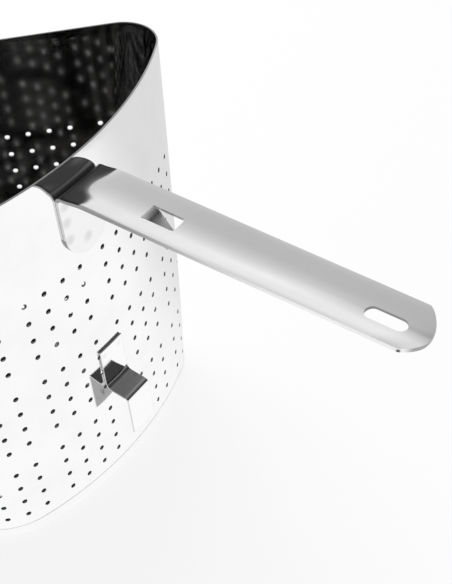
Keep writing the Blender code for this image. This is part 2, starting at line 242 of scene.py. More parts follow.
@dataclass(frozen=True)
class Shade:
    """Painted light and shade on a finish: a turn to another colour, from one place along an axis
    to a further one.
    """

    axis: Point
    start: float
    end: float
    colour: Colour


@dataclass(frozen=True)
class SteelFinish:
    """A steel surface: its reflectance, its polish, its fine marks and any painted light and shade.
    """

    name: str
    colour: Colour
    roughness: float
    smudge: float = 0.02
    stain: float = 0.04
    lay: Lay = Lay.NONE
    mark_scale: float = 120.0
    mark_relief: float = 0.05
    wave_relief: float = 0.0
    # Soft spots: weld tint round spot welds, and painted shade where a spot stands at a burr.
    heat_places: tuple[Point, ...] = ()
    heat_radius: float = 0.0022
    heat_depth: float = 0.0
    shades: tuple[Shade, ...] = ()
    cloud_scale: float = 42.0
    cloud_range: Flat = (0.35, 0.75)
    wave_scale: float = 18.0
    heat_range: Flat = (0.4, 1.6)
    heat_dulling: float = 0.08
    bump_distance: float = 0.0001

    @classmethod
    def cut_edge(cls, name: str, colour: Colour, roughness: float, mark_scale: float = 700.0,
                 mark_relief: float = 0.3, **others: object) -> SteelFinish:
        """Return the finish of a sheared edge, with its marks through the sheet.

        Args:
            name: The material's name.
            colour: Its reflectance.
            roughness: How dull it is.
            mark_scale: How fine its marks are.
            mark_relief: How deep they are.
            others: Further fields of the finish.

        Returns:
            The finish.
        """
        return cls(name, colour, roughness, lay=Lay.THROUGH_SHEET, mark_scale=mark_scale,
                   mark_relief=mark_relief, **others)

    def darkened(self, share: float) -> tuple[float, ...]:
        """Return the colour as a socket takes it, darker by a share."""
        return (*(channel * (1.0 - share) for channel in self.colour), 1.0)

    def material(self) -> bpy.types.Material:
        """Build the material.

        Returns:
            A new material with a Principled shader.
        """
        material = bpy.data.materials.new(self.name)
        material.use_nodes = True
        wiring = Wiring(material.node_tree)
        shader = material.node_tree.nodes["Principled BSDF"]
        place = wiring.add("ShaderNodeTexCoord", output="Object")
        cloud = wiring.noise(place, self.cloud_scale, detail=4.0, roughness=0.6)
        marks = wiring.noise(wiring.stretched(place, self.lay.value), self.mark_scale, detail=3.0)
        worn = cloud.eased(*self.cloud_range)
        colour = wiring.blend(worn, (*self.colour, 1.0), self.darkened(self.stain))
        # Blend in the painted light and shade, by place on the object.
        for shade in self.shades:
            reached = wiring.dot(place, shade.axis).eased(shade.start, shade.end)
            colour = wiring.blend(reached, colour, (*shade.colour, 1.0))
        roughness = self.roughness + (worn + marks - 1.0) * self.smudge
        if self.heat_places:
            mark = self.heat(wiring, place)
            colour = wiring.blend(mark, colour, self.darkened(self.heat_depth))
            roughness = roughness + mark * self.heat_dulling
        height = marks * self.mark_relief
        if self.wave_relief:
            height = height + wiring.noise(place, self.wave_scale, detail=1.0) * self.wave_relief
        bump = {"Strength": 1.0, "Distance": self.bump_distance, "Height": height}
        wiring.feed(shader, {"Base Color": colour, "Metallic": 1.0,
                             "Normal": wiring.add("ShaderNodeBump", None, bump),
                             "Roughness": roughness.clamped()})
        return material

    def heat(self, wiring: Wiring, place: Socket) -> Socket:
        """Mask the soft spots of weld tint and of painted shade at a burr.

        Args:
            wiring: The material's tree.
            place: The place on the object.

        Returns:
            1 in the middle of each spot, 0 away from them.
        """
        near, far = (share * self.heat_radius for share in self.heat_range)
        total = None
        for centre in self.heat_places:
            spot = 1.0 - wiring.distance(place, centre).eased(near, far)
            total = spot if total is None else total.larger(spot)
        return total


# Mesh helpers

class SheetMesh:
    """Vertices and faces of one piece while it is drawn."""

    def __init__(self) -> None:
        """Start empty."""
        self.points: list[Point] = []
        self.faces: list[tuple[int, ...]] = []
        self.slots: list[int] = []

    def point(self, place: Point) -> int:
        """Add a point and return its number."""
        self.points.append(place)
        return len(self.points) - 1

    def row(self, places: Iterable[Point]) -> list[int]:
        """Add points and return their numbers."""
        return [self.point(place) for place in places]

    def face(self, corners: Sequence[int], slot: int = 0) -> None:
        """Add a face, leaving out corners that repeat.

        Args:
            corners: Numbers of its points, in order.
            slot: Material slot of the face.
        """
        kept = [c for k, c in enumerate(corners) if c != corners[k - 1]]
        if len(kept) > 2:
            self.faces.append(tuple(kept))
            self.slots.append(slot)

    def band(self, low: Sequence[int], high: Sequence[int], slot: int = 0,
             closed: bool = False) -> None:
        """Join two rows of points by quads.

        Args:
            low: The first row.
            high: The second row, as long as the first.
            slot: Material slot of the quads.
            closed: Whether the rows are rings.
        """
        count = len(low) if closed else len(low) - 1
        for k in range(count):
            after = (k + 1) % len(low)
            self.face((low[k], low[after], high[after], high[k]), slot)

    def build(self, name: str, materials: Sequence[bpy.types.Material]) -> bpy.types.Object:
        """Make the object.

        Args:
            name: The piece's name.
            materials: Its materials, in slot order.

        Returns:
            The new object, linked to the scene.
        """
        mesh = bpy.data.meshes.new(name)
        mesh.from_pydata(self.points, [], self.faces)
        for material in materials:
            mesh.materials.append(material)
        mesh.polygons.foreach_set("material_index", self.slots)
        mesh.validate()
        mesh.shade_smooth()
        mesh.set_sharp_from_angle(angle=SHARP_ANGLE)
        piece = bpy.data.objects.new(name, mesh)
        bpy.context.collection.objects.link(piece)
        return piece


def spread(start: float, end: float, parts: int) -> list[float]:
    """Return even steps from start to end, both kept."""
    return [start + (end - start) * k / parts for k in range(parts + 1)]


def filled(start: float, end: float, step: Callable[[float], float]) -> list[float]:
    """Return even steps from start to end, no wider than allowed midway and without start."""
    parts = max(math.ceil((end - start) / step((start + end) / 2)), 1)
    return spread(start, end, parts)[1:]


def between(a: Flat, b: Flat, share: float) -> Flat:
    """Return the point a share of the way from a to b."""
    return a[0] + (b[0] - a[0]) * share, a[1] + (b[1] - a[1]) * share


def along(path: Sequence[Flat], parts: int) -> list[Flat]:
    """Space points evenly along a bent line.

    Args:
        path: Corners of the line.
        parts: How many equal runs the result has.

    Returns:
        The points, both ends kept.
    """
    runs = [math.dist(a, b) for a, b in zip(path, path[1:])]
    result = []
    index, passed = 0, 0.0
    for target in spread(0.0, sum(runs), parts):
        while index < len(runs) - 1 and passed + runs[index] < target:
            passed += runs[index]
            index += 1
        share = min((target - passed) / runs[index], 1.0)
        result.append(between(path[index], path[index + 1], share))
    return result


def loop(*runs: Sequence[Flat]) -> list[Flat]:
    """Join runs end to start into a ring, without the last point of each."""
    return [flat for run in runs for flat in run[:-1]]


def arc(centre: Flat, radius: float, start: float, end: float, parts: int = 12) -> list[Flat]:
    """Return points on an arc between two angles."""
    return [(centre[0] + radius * math.cos(angle), centre[1] + radius * math.sin(angle))
            for angle in spread(start, end, parts)]


def circle(radius: float, sides: int) -> list[Flat]:
    """Return the corners of a regular polygon about 0, 0."""
    return arc((0.0, 0.0), radius, 0.0, FULL_TURN, sides)[:-1]


def smooth_step(value: float) -> float:
    """Return the smooth step of a value held between 0 and 1."""
    share = min(max(value, 0.0), 1.0)
    return share * share * (3 - 2 * share)


def finish_piece(piece: bpy.types.Object, slot: str, *nodes: str) -> None:
    """Let a piece ride on the body and stand for CAD nodes.

    Args:
        piece: The piece.
        slot: The record's material slot; not used.
        nodes: CAD nodes that it replaces.
    """
    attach(piece, BODY)
    if nodes:
        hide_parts(*nodes)
    log.info("built %s with %d faces", piece.name, len(piece.data.polygons))


# Basket body

@dataclass(frozen=True)
class Segment:
    """Outside sizes of the basket, the same as in the CAD source."""

    height: float = 0.1933
    front_radius: float = 0.1688
    front_reach: float = 0.0600
    apex_depth: float = 0.1336
    half_angle: float = math.radians(45.0)
    corner_rim: float = 0.0178
    corner_base: float = 0.0356
    apex_radius: float = 0.0150
    sheet: float = 0.0008
    gap: float = 0.0003
    pan_height: float = 0.0120
    pan_edge: float = 0.0090
    hole_diameter: float = 0.0024
    hole_pitch: float = 0.0100
    cluster_holes: int = 4
    period_round: float = 0.0446
    period_up: float = 0.0457
    top_row_below_rim: float = 0.0519
    low_row_margin: float = 0.0060
    base_hole_margin: float = 0.0020
    corner_runout: float = 0.0200

    @property
    def arc_centre_y(self) -> float:
        """Y of the axis of the curved front."""
        return self.front_radius - self.front_reach

    @property
    def apex_y(self) -> float:
        """Y where the two flat sides would meet."""
        return self.apex_depth - self.front_reach

    @property
    def seat_y(self) -> float:
        """Y of the back of the handle's tab and the hook's plate."""
        return -self.front_reach - self.gap

    @property
    def top_row(self) -> float:
        """Height of the top row of holes."""
        return self.height - self.top_row_below_rim

    @property
    def cluster_span(self) -> float:
        """Distance from the first to the last hole of a cluster."""
        return self.hole_pitch * (self.cluster_holes - 1)

    @property
    def half_hole(self) -> float:
        """Half the side of the square hole that the CAD has in place of a round one."""
        return self.hole_diameter * math.sqrt(math.pi) / 4

    def corner(self, z: float) -> float:
        """Return the radius of the front corners at a height."""
        return self.corner_base + (self.corner_rim - self.corner_base) * z / self.height

    def wall_sag(self, x: float) -> float:
        """Return how far the curved front falls back at a distance from the crown."""
        radius = self.front_radius + self.gap
        return radius - math.sqrt(radius * radius - x * x)

    def cluster_places(self, period: float, clusters: Iterable[int]) -> list[float]:
        """Return the hole places of clusters that lie a period apart, along one line.

        Args:
            period: Distance from cluster to cluster.
            clusters: Their numbers; number 0 starts at place 0.

        Returns:
            The places of their holes in order.
        """
        return [period * (k + 0.5) + self.hole_pitch * j - self.cluster_span / 2
                for k in clusters for j in range(self.cluster_holes)]


SEGMENT = Segment()


class Outline:
    """Half of the basket's outline at a height: front arc, corner, straight side, half the apex."""

    def __init__(self, z: float) -> None:
        """Work out the runs of the outline.

        Args:
            z: The height.
        """
        seg = SEGMENT
        self.corner = seg.corner(z)
        side_offset = math.sin(seg.half_angle) * (seg.apex_y - seg.arc_centre_y)
        reach = seg.front_radius - self.corner
        self.arc_angle = seg.half_angle - math.asin((self.corner - side_offset) / reach)
        self.corner_centre = (reach * math.sin(self.arc_angle),
                              seg.arc_centre_y - reach * math.cos(self.arc_angle))
        self.apex_centre = (0.0, seg.apex_y - seg.apex_radius / math.sin(seg.half_angle))
        corner_end = self.corner_centre[0] + self.corner * math.cos(seg.half_angle)
        apex_start = seg.apex_radius * math.cos(seg.half_angle)
        self.arc_length = seg.front_radius * self.arc_angle
        self.corner_length = self.corner * (seg.half_angle + QUARTER_TURN - self.arc_angle)
        self.side_length = (corner_end - apex_start) / math.sin(seg.half_angle)
        self.apex_length = seg.apex_radius * (QUARTER_TURN - seg.half_angle)
        self.length = self.arc_length + self.corner_length + self.side_length + self.apex_length

    def place(self, length: float, inset: float = 0.0) -> Flat:
        """Find a point of the outline.

        Args:
            length: Signed length from the crown.
            inset: How far the point lies inside the outer face.

        Returns:
            Its X and Y.
        """
        seg = SEGMENT
        side = -1.0 if length < 0 else 1.0
        run = abs(length)
        shift = 0.0
        if run <= self.arc_length:
            centre, radius = (0.0, seg.arc_centre_y), seg.front_radius
            angle = run / radius - QUARTER_TURN
        elif run <= self.arc_length + self.corner_length:
            centre, radius = self.corner_centre, self.corner
            angle = self.arc_angle - QUARTER_TURN + (run - self.arc_length) / radius
        elif run <= self.length - self.apex_length:
            centre, radius = self.corner_centre, self.corner
            angle = seg.half_angle
            shift = run - self.arc_length - self.corner_length
        else:
            centre, radius = self.apex_centre, seg.apex_radius
            angle = seg.half_angle + (run - self.length + self.apex_length) / radius
        across, up = math.cos(angle), math.sin(angle)
        x = centre[0] + (radius - inset) * across - shift * up
        y = centre[1] + (radius - inset) * up + shift * across
        return side * x, y


@lru_cache(maxsize=None)
def outline_at(z: float) -> Outline:
    """Return the outline at a height, worked out once."""
    return Outline(round(z, HEIGHT_DIGITS))


REFERENCE = outline_at(SEGMENT.top_row)


def sheet_length(s: float, outline: Outline) -> float:
    """Carry a column of the flat sheet to its length on the outline at another height.

    Args:
        s: The column's length on the outline at the top row of holes.
        outline: The outline at the other height.

    Returns:
        Its signed length there.
    """
    start = REFERENCE.arc_length
    end = start + REFERENCE.corner_length + SEGMENT.corner_runout
    run = abs(s)
    share = min(max((run - start) / (end - start), 0.0), 1.0)
    return math.copysign(run + (outline.length - REFERENCE.length) * share, s)


def skin(s: float, z: float, inset: float) -> Point:
    """Return the point of the wall at a column and height, inset from the outer face."""
    outline = outline_at(z)
    return *outline.place(sheet_length(s, outline), inset), z


class SheetSlot(IntEnum):
    """Material slots of a perforated sheet."""

    OUTER = 0
    INNER = 1
    EDGE = 2


@dataclass
class HolePunch:
    """The round hole with lightly broken edges that the wall and the base share."""

    radius: float = SEGMENT.hole_diameter / 2
    break_width: float = 0.00012
    sides: int = 16

    def rings(self) -> list[Flat]:
        """List the rings from the outer to the inner face.

        Returns:
            The radius and inset of each.
        """
        deep, wide = SEGMENT.sheet, self.radius + self.break_width
        return [(wide, 0.0), (self.radius, self.break_width),
                (self.radius, deep - self.break_width), (wide, deep)]

    def circle(self, radius: float) -> list[Flat]:
        """Return the points of one ring about the hole's centre."""
        return circle(radius, self.sides)


@dataclass
class PerforatedSheet:
    """What the wall and the base share: three finishes and the round holes."""

    outer: SteelFinish
    inner: SteelFinish
    edge: SteelFinish
    punch: HolePunch = field(default_factory=HolePunch)

    def dress(self, sheet: SheetMesh, name: str, slot: str, node: str) -> None:
        """Dress a drawn sheet and let it stand for its CAD node.

        Args:
            sheet: The drawn sheet.
            name: The piece's name.
            slot: The record's material slot.
            node: The CAD node.
        """
        materials = [finish.material() for finish in (self.outer, self.inner, self.edge)]
        finish_piece(sheet.build(name, materials), slot, node)


@dataclass
class PerforatedWall(PerforatedSheet):
    """The wall: one sheet with clusters of round holes, wrapped round and joined at the apex."""

    cell: float = 0.0050
    cell_parts: int = 4
    arc_step: float = 0.0030
    corner_step: float = 0.0013
    side_step: float = 0.0060
    up_step: float = 0.0050
    edge_round: float = 0.00028
    edge_parts: int = 3
    outer: SteelFinish = SteelFinish("wall_outer_polish", grey(0.955, 0.005), 0.06, wave_relief=0.5)
    inner: SteelFinish = SteelFinish("wall_inner_mill", MILL_GREY, 0.09, stain=0.10,
                                     wave_relief=0.8)
    # The hole edges turn light towards +X and low down: painted light.
    edge: SteelFinish = SteelFinish.cut_edge(
        "cut_edge", grey(0.46, -0.005), 0.32, mark_scale=900.0, mark_relief=0.2,
        shades=(Shade((1.0, 0.0, -0.8), -0.065, 0.011, grey(0.96, -0.005)),))

    def hole_columns(self) -> list[float]:
        """Lay out the hole columns of one half.

        Returns:
            Their lengths from the crown to the apex.
        """
        clusters = range(int(REFERENCE.length / SEGMENT.period_round) + 1)
        limit = REFERENCE.length - REFERENCE.apex_length - SEGMENT.half_hole
        return [column for column in SEGMENT.cluster_places(SEGMENT.period_round, clusters)
                if column < limit]

    def hole_rows(self) -> list[float]:
        """Lay out the hole rows, down from the top one.

        Returns:
            Their heights, lowest first.
        """
        seg = SEGMENT
        lowest = seg.pan_height + seg.low_row_margin
        clusters = int((seg.top_row - seg.cluster_span - lowest) / seg.period_up) + 1
        return sorted(seg.top_row - seg.period_up * k - seg.hole_pitch * j
                      for k in range(clusters) for j in range(seg.cluster_holes))

    def lines(self, centres: Sequence[float], start: float, end: float,
              step: Callable[[float], float]) -> tuple[list[float], list[int]]:
        """Lay grid lines over a range, with equal parts in each hole's cell.

        Args:
            centres: Hole centres.
            start: Start of the range.
            end: End of the range.
            step: The widest step allowed at a place.

        Returns:
            The lines, and the number of the first line of each hole's cell.
        """
        lines, firsts = [start], []
        for centre in centres:
            lines += filled(lines[-1], centre - self.cell / 2, step)
            firsts.append(len(lines) - 1)
            lines += [centre - self.cell / 2 + self.cell * k / self.cell_parts
                      for k in range(1, self.cell_parts + 1)]
        return lines + filled(lines[-1], end, step), firsts

    def column_step(self, s: float) -> float:
        """Choose how far apart columns may stand.

        Args:
            s: A place on the sheet, from the crown.

        Returns:
            The widest step there.
        """
        if s < REFERENCE.arc_length:
            return self.arc_step
        corner_end = REFERENCE.arc_length + REFERENCE.corner_length
        if s < corner_end or s > REFERENCE.length - REFERENCE.apex_length - self.corner_step:
            return self.corner_step
        return self.side_step

    def build(self) -> None:
        """Draw the wall with both faces, its holes and its rounded edges."""
        seg = SEGMENT
        half, half_firsts = self.lines(self.hole_columns(), 0.0, REFERENCE.length,
                                       self.column_step)
        middle = len(half) - 1
        columns = [-s for s in reversed(half[1:])] + half[:-1]
        firsts = [middle - first - self.cell_parts for first in reversed(half_firsts)]
        firsts += [middle + first for first in half_firsts]
        foot = seg.pan_height + seg.gap
        rows, row_firsts = self.lines(self.hole_rows(), foot + self.edge_round,
                                      seg.height - self.edge_round, lambda z: self.up_step)
        sheet = SheetMesh()
        outer, inner = grids = [[sheet.row(skin(s, z, inset) for s in columns) for z in rows]
                                for inset in (0.0, seg.sheet)]
        open_cells = {(r + j, c + i) for r in row_firsts for c in firsts
                      for j in range(self.cell_parts) for i in range(self.cell_parts)}
        count = len(columns)
        for slot, grid in zip(SheetSlot, grids):
            for r in range(len(rows) - 1):
                for c in range(count):
                    if (r, c) in open_cells:
                        continue
                    after = (c + 1) % count
                    quad = (grid[r][c], grid[r][after], grid[r + 1][after], grid[r + 1][c])
                    sheet.face(quad if slot is SheetSlot.OUTER else quad[::-1], slot)
        for r in row_firsts:
            for c in firsts:
                self.punch_hole(sheet, grids, (r, c), columns, rows)
        self.round_edge(sheet, outer[-1], inner[-1], columns, rows[-1], 1.0)
        self.round_edge(sheet, inner[0], outer[0], columns, rows[0], -1.0)
        self.dress(sheet, "perforated_wall", "wall_steel", "basket_wall")

    def cell_border(self, grid: list[list[int]], row: int, column: int) -> list[int]:
        """Walk round a hole's cell.

        Args:
            grid: The points of one face, by row and column.
            row: The cell's first row.
            column: The cell's first column.

        Returns:
            The points round it, from the middle of its right side.
        """
        n = self.cell_parts
        steps = [(n, n // 2 + k) for k in range(n // 2)]
        steps += [(n - k, n) for k in range(n)]
        steps += [(0, n - k) for k in range(n)]
        steps += [(k, 0) for k in range(n)]
        steps += [(n, k) for k in range(n // 2)]
        count = len(grid[0])
        return [grid[row + j][(column + i) % count] for i, j in steps]

    def punch_hole(self, sheet: SheetMesh, grids: list[list[list[int]]], cell: tuple[int, int],
                   columns: Sequence[float], rows: Sequence[float]) -> None:
        """Join the border of a cell on both faces to the round hole in it.

        Args:
            sheet: The mesh to draw in.
            grids: The points of the outer and of the inner face.
            cell: The cell's first row and column.
            columns: The lengths of the columns.
            rows: The heights of the rows.
        """
        s = columns[cell[1] + self.cell_parts // 2]
        z = rows[cell[0] + self.cell_parts // 2]
        outline = outline_at(z)
        half = self.cell / 2
        span = abs(sheet_length(s + half, outline) - sheet_length(s - half, outline))
        stretch = span / self.cell
        rings = [self.cell_border(grids[0], *cell)]
        for radius, inset in self.punch.rings():
            rings.append(sheet.row(skin(s + dx / stretch, z + dz, inset)
                                   for dx, dz in self.punch.circle(radius)))
        rings.append(self.cell_border(grids[1], *cell))
        slots = [SheetSlot.OUTER, *[SheetSlot.EDGE] * (len(rings) - 3), SheetSlot.INNER]
        for low, high, slot in zip(rings, rings[1:], slots):
            sheet.band(low, high, slot, closed=True)

    def round_edge(self, sheet: SheetMesh, start: list[int], end: list[int],
                   columns: Sequence[float], z: float, up: float) -> None:
        """Carry the sheet over its rim or foot with small rounded edges.

        Args:
            sheet: The mesh to draw in.
            start: The last ring of the face that it sets out from.
            end: The last ring of the other face.
            columns: The lengths of the columns.
            z: The height of both rings.
            up: 1 at the rim, -1 at the foot.
        """
        last = start
        radius = self.edge_round
        deep = SEGMENT.sheet
        profile = [(radius * (1 - math.cos(a)), radius * math.sin(a))
                   for a in spread(0.0, QUARTER_TURN, self.edge_parts)[1:]]
        profile += [(deep - inset, rise) for inset, rise in reversed(profile)]
        for inset, rise in profile:
            inset = inset if up > 0 else deep - inset
            row = sheet.row(skin(s, z + up * rise, inset) for s in columns)
            sheet.band(last, row, SheetSlot.EDGE, closed=True)
            last = row
        sheet.band(last, end, SheetSlot.EDGE, closed=True)


@dataclass
class BasePan(PerforatedSheet):
    """The base: a shallow pressed pan with a rounded edge and a perforated floor."""

    edge_parts: int = 10
    arc_parts: int = 72
    corner_parts: int = 22
    side_parts: int = 10
    apex_parts: int = 8
    flat_margin: float = 0.0006
    merge_distance: float = 1e-9
    outer: SteelFinish = SteelFinish("pan_outer_polish", grey(0.945, 0.005), 0.07, wave_relief=0.6)
    inner: SteelFinish = SteelFinish("pan_inner_mill", MILL_GREY, 0.10, stain=0.10,
                                     wave_relief=0.8)
    edge: SteelFinish = SteelFinish.cut_edge("pan_cut_edge", grey(0.46, -0.005), 0.32,
                                             mark_scale=900.0, mark_relief=0.2)

    def inside(self, x: float, y: float, margin: float) -> bool:
        """Check a place for a base hole.

        Args:
            x: The place's X.
            y: The place's Y.
            margin: What its centre keeps to the rounded edge.

        Returns:
            Whether it does.
        """
        seg = SEGMENT
        outline = outline_at(0.0)
        inset = seg.pan_edge + margin
        x = abs(x)
        side_distance = x * math.cos(seg.half_angle) + (y - seg.apex_y) * math.sin(seg.half_angle)
        in_front = math.hypot(x, y - seg.arc_centre_y) <= seg.front_radius - inset
        dx, dy = x - outline.corner_centre[0], y - outline.corner_centre[1]
        at_corner = outline.arc_angle - QUARTER_TURN < math.atan2(dy, dx) < seg.half_angle
        in_corner = not at_corner or math.hypot(dx, dy) <= outline.corner - inset
        return in_front and side_distance <= -inset and in_corner

    def hole_centres(self) -> list[Flat]:
        """Lay out the base holes in the same clusters as the wall's.

        Returns:
            Their centres.
        """
        xs, ys = (SEGMENT.cluster_places(period, range(-clusters, clusters))
                  for period in (SEGMENT.period_round, SEGMENT.period_up)
                  for clusters in [int(SEGMENT.front_radius / period)])
        margin = SEGMENT.base_hole_margin + SEGMENT.half_hole
        return [(x, y) for x in xs for y in ys if self.inside(x, y, margin)]

    def ring(self, sheet: SheetMesh, inset: float, z: float) -> list[int]:
        """Add one ring of points round the pan.

        Args:
            sheet: The mesh to draw in.
            inset: How far the ring lies inside the outline.
            z: Its height.

        Returns:
            Its points.
        """
        outline = outline_at(z)
        spans = (outline.arc_length, outline.corner_length, outline.side_length,
                 outline.apex_length)
        parts = (self.arc_parts, self.corner_parts, self.side_parts, self.apex_parts)
        half = [0.0]
        for span, count in zip(spans, parts):
            half += [half[-1] + span * k / count for k in range(1, count + 1)]
        lengths = half + [-s for s in reversed(half[1:-1])]
        return sheet.row((*outline.place(s, inset), z) for s in lengths)

    def build(self) -> None:
        """Draw the pan with its rounded edge and its floor."""
        seg = SEGMENT
        sheet = SheetMesh()
        rings = []
        for inset, radius in ((0.0, seg.pan_edge), (seg.sheet, seg.pan_edge - seg.sheet)):
            bend = arc((0.0, 0.0), radius, 0.0, QUARTER_TURN, self.edge_parts)
            profile = [(inset, seg.pan_height),
                       *((seg.pan_edge - dx, seg.pan_edge - dy) for dx, dy in bend),
                       (seg.pan_edge + self.flat_margin, inset)]
            rings.append([self.ring(sheet, *place) for place in profile])
        outer, inner = rings
        for low, high in zip(outer, outer[1:]):
            sheet.band(high, low, SheetSlot.OUTER, closed=True)
        for low, high in zip(inner, inner[1:]):
            sheet.band(low, high, SheetSlot.INNER, closed=True)
        sheet.band(outer[0], inner[0], SheetSlot.EDGE, closed=True)
        self.perforate(sheet, outer[-1], inner[-1])
        self.dress(sheet, "pressed_base", "base_steel", "base_pan")

    def perforate(self, sheet: SheetMesh, outer_ring: list[int], inner_ring: list[int]) -> None:
        """Fill the flat floor between its outline and the holes on both faces.

        Args:
            sheet: The mesh to draw in.
            outer_ring: The ring round the floor on the outer face.
            inner_ring: The ring round it on the inner face.
        """
        centres = self.hole_centres()
        flat = [sheet.points[index][:2] for index in outer_ring]
        edges = [(k, (k + 1) % len(flat)) for k in range(len(flat))]
        outer, inner = list(outer_ring), list(inner_ring)
        sides = self.punch.sides
        for cx, cy in centres:
            rings = [sheet.row((cx + dx, cy + dy, inset) for dx, dy in self.punch.circle(radius))
                     for radius, inset in self.punch.rings()]
            for low, high in zip(rings, rings[1:]):
                sheet.band(high, low, SheetSlot.EDGE, closed=True)
            start = len(flat)
            flat += [sheet.points[index][:2] for index in rings[0]]
            edges += [(start + k, start + (k + 1) % sides) for k in range(sides)]
            outer += rings[0]
            inner += rings[-1]
        made = delaunay_2d_cdt([Vector(p) for p in flat], edges, [], 0, self.merge_distance)
        origin = [source[0] for source in made[3]]
        for corners in made[2]:
            numbers = [origin[c] for c in corners]
            middle = [sum(flat[n][axis] for n in numbers) / len(numbers) for axis in (0, 1)]
            if any(math.dist(middle, centre) < self.punch.radius for centre in centres):
                continue
            sheet.face([outer[n] for n in reversed(numbers)], SheetSlot.OUTER)
            sheet.face([inner[n] for n in numbers], SheetSlot.INNER)


@dataclass
class WeldBeads:
    """The two weld lines of the body: pan to wall, and the joint down the inside of the apex."""

    pan_bead: float = 0.00040
    apex_bead: float = 0.00060
    ripple: float = 0.10
    ripple_pitch: float = 0.0016
    ripple_parts: int = 3
    section_sides: int = 8
    below_rim: float = 0.0012
    above_pan: float = 0.0005
    steel: SteelFinish = SteelFinish("weld_bead", (0.90, 0.895, 0.885), 0.20, smudge=0.05,
                                     stain=0.15, mark_scale=500.0, mark_relief=0.2)

    def tube(self, path: Sequence[Point], outward: Sequence[Flat], radius: float, lean: Point,
             closed: bool) -> SheetMesh:
        """Sweep a rippled round section along a path.

        Args:
            path: Middle of the bead.
            outward: Level direction of the section's first axis at each point.
            radius: The bead's radius.
            lean: The section's second axis.
            closed: Whether the path is a ring.

        Returns:
            The drawn bead.
        """
        sheet = SheetMesh()
        rows = []
        run = 0.0
        for k, ((x, y, z), (ox, oy)) in enumerate(zip(path, outward)):
            if k:
                run += math.dist(path[k - 1], path[k])
            hollow = (1 + math.cos(FULL_TURN * run / self.ripple_pitch)) / 2
            swell = radius * (1 - self.ripple * hollow)
            rows.append(sheet.row((x + a * ox + b * lean[0], y + a * oy + b * lean[1],
                                   z + b * lean[2]) for a, b in circle(swell, self.section_sides)))
        for low, high in zip(rows, rows[1:] + (rows[:1] if closed else [])):
            sheet.band(low, high, closed=True)
        if not closed:
            sheet.face(rows[0][::-1])
            sheet.face(rows[-1])
        return sheet

    def build(self) -> None:
        """Draw both beads."""
        material = self.steel.material()
        z = SEGMENT.pan_height + SEGMENT.gap / 2
        outline = outline_at(z)
        step = self.ripple_pitch / self.ripple_parts
        steps = int(2 * outline.length / step)
        path, outward = [], []
        for k in range(steps):
            s = 2 * outline.length * k / steps - outline.length
            ax, ay = outline.place(s)
            bx, by = outline.place(s, self.pan_bead)
            path.append((bx, by, z))
            outward.append(((ax - bx) / self.pan_bead, (ay - by) / self.pan_bead))
        ring = self.tube(path, outward, self.pan_bead, UP, True)
        finish_piece(ring.build("pan_weld_bead", [material]), "base_steel")

        apex_y = outline.place(outline.length)[1] - SEGMENT.sheet
        top = SEGMENT.height - self.below_rim
        path = [(0.0, apex_y, h) for h in spread(z + self.above_pan, top, int((top - z) / step))]
        line = self.tube(path, [(1.0, 0.0)] * len(path), self.apex_bead, BACK, False)
        finish_piece(line.build("apex_weld_bead", [material]), "wall_steel")


# Handle and hook

@dataclass
class Sheetwork:
    """What the two bent strips share: a drawn face on the wall that gets its thickness."""

    thickness: float = 0.0015
    contact: float = 0.00020
    edge_break: float = 0.00022
    break_parts: int = 3
    break_angle: float = math.radians(50.0)
    merge_distance: float = 1e-6
    spot_radius: float = 0.0014
    spot_depth: float = 0.00009
    spots: tuple[Flat, ...] = ()

    def finishes(self) -> list[SteelFinish]:
        """List the finishes in slot order, the rounded edge's last."""
        raise NotImplementedError

    def weld_places(self) -> tuple[Point, ...]:
        """Return the middles of the spot welds on the face."""
        return tuple((x, SEGMENT.seat_y - self.thickness, z) for x, z in self.spots)

    def settled(self, x: float, y: float, z: float, hold: float) -> Point:
        """Lay a point of the strip on the wall, sunk where electrodes pressed it.

        Args:
            x: Its X.
            y: Its Y against a flat wall.
            z: Its height.
            hold: How much the strip follows the wall there, from 0 to 1.

        Returns:
            The point.
        """
        sunk = max(self.spot_depth * (1.0 - smooth_step(math.dist((x, z), spot) / self.spot_radius))
                   for spot in self.spots)
        return x, y + (SEGMENT.wall_sag(x) + self.contact + sunk) * hold, z

    def make(self, sheet: SheetMesh, name: str, slot: str, node: str, other_side: int,
             rim: int) -> None:
        """Give a drawn face its finishes, its thickness and its rounded edges.

        Args:
            sheet: The drawn face.
            name: The piece's name.
            slot: The record's material slot.
            node: The CAD node that it replaces.
            other_side: Step from a drawn face's material slot to that of the face opposite.
            rim: Step from a drawn face's material slot to that of the cut edge.
        """
        finishes = self.finishes()
        made = {finish: finish.material() for finish in dict.fromkeys(finishes)}
        piece = sheet.build(name, [made[finish] for finish in finishes])
        self.merge(piece.data)
        solid = piece.modifiers.new("sheet", "SOLIDIFY")
        solid.thickness = self.thickness
        solid.use_even_offset = True
        solid.use_quality_normals = True
        solid.material_offset = other_side
        solid.material_offset_rim = rim
        rounding = piece.modifiers.new("broken_edges", "BEVEL")
        rounding.width = self.edge_break
        rounding.segments = self.break_parts
        rounding.limit_method = "ANGLE"
        rounding.angle_limit = self.break_angle
        rounding.harden_normals = True
        rounding.material = len(finishes) - 1
        depsgraph = bpy.context.evaluated_depsgraph_get()
        solid_mesh = bpy.data.meshes.new_from_object(piece.evaluated_get(depsgraph))
        drawn = piece.data
        piece.modifiers.clear()
        piece.data = solid_mesh
        bpy.data.meshes.remove(drawn)
        solid_mesh.name = name
        finish_piece(piece, slot, node)

    def merge(self, mesh: bpy.types.Mesh) -> None:
        """Join points that fell on each other, as at the round foot of the tab.

        Args:
            mesh: The drawn face.
        """
        bm = bmesh.new()
        bm.from_mesh(mesh)
        bmesh.ops.remove_doubles(bm, verts=bm.verts, dist=self.merge_distance)
        bm.to_mesh(mesh)
        bm.free()


class StrapSlot(IntEnum):
    """Material slot of the face of each zone of the handle; its cut edge has the next one."""

    STRAP = 0
    TONGUE = 2
    TAB = 4
    FOOT = 6
    BEND = 8
    LIPS = 10


